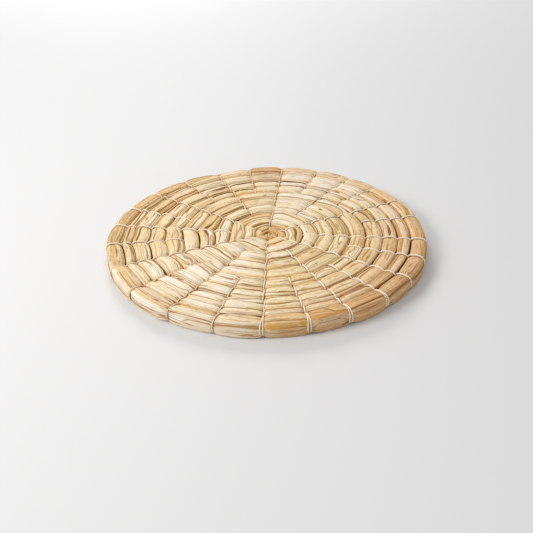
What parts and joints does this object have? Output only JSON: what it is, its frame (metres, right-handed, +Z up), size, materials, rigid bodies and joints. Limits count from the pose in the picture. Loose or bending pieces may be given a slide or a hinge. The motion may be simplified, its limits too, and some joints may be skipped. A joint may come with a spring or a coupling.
{
  "type": "seagrass placemat",
  "caption": "Round flat table mat of dried seagrass: a thick bundle of leaves coiled in a spiral and sewn along radial lines with pale twine.",
  "frame": {"origin": "middle of the underside, on the surface that the mat rests on", "axes": "+Z up, out of the mat's upper face; the picture's camera is on the -Y side"},
  "size_m": [0.3785, 0.378, 0.018],
  "materials": {
    "seagrass": "dried flat leaves, straw to tan, with lengthwise fibres and folds",
    "twine": "pale two-ply paper or cotton twine, matt"
  },
  "bodies": {
    "root": {"seagrass_coil": "seagrass"}
  },
  "joints": []
}
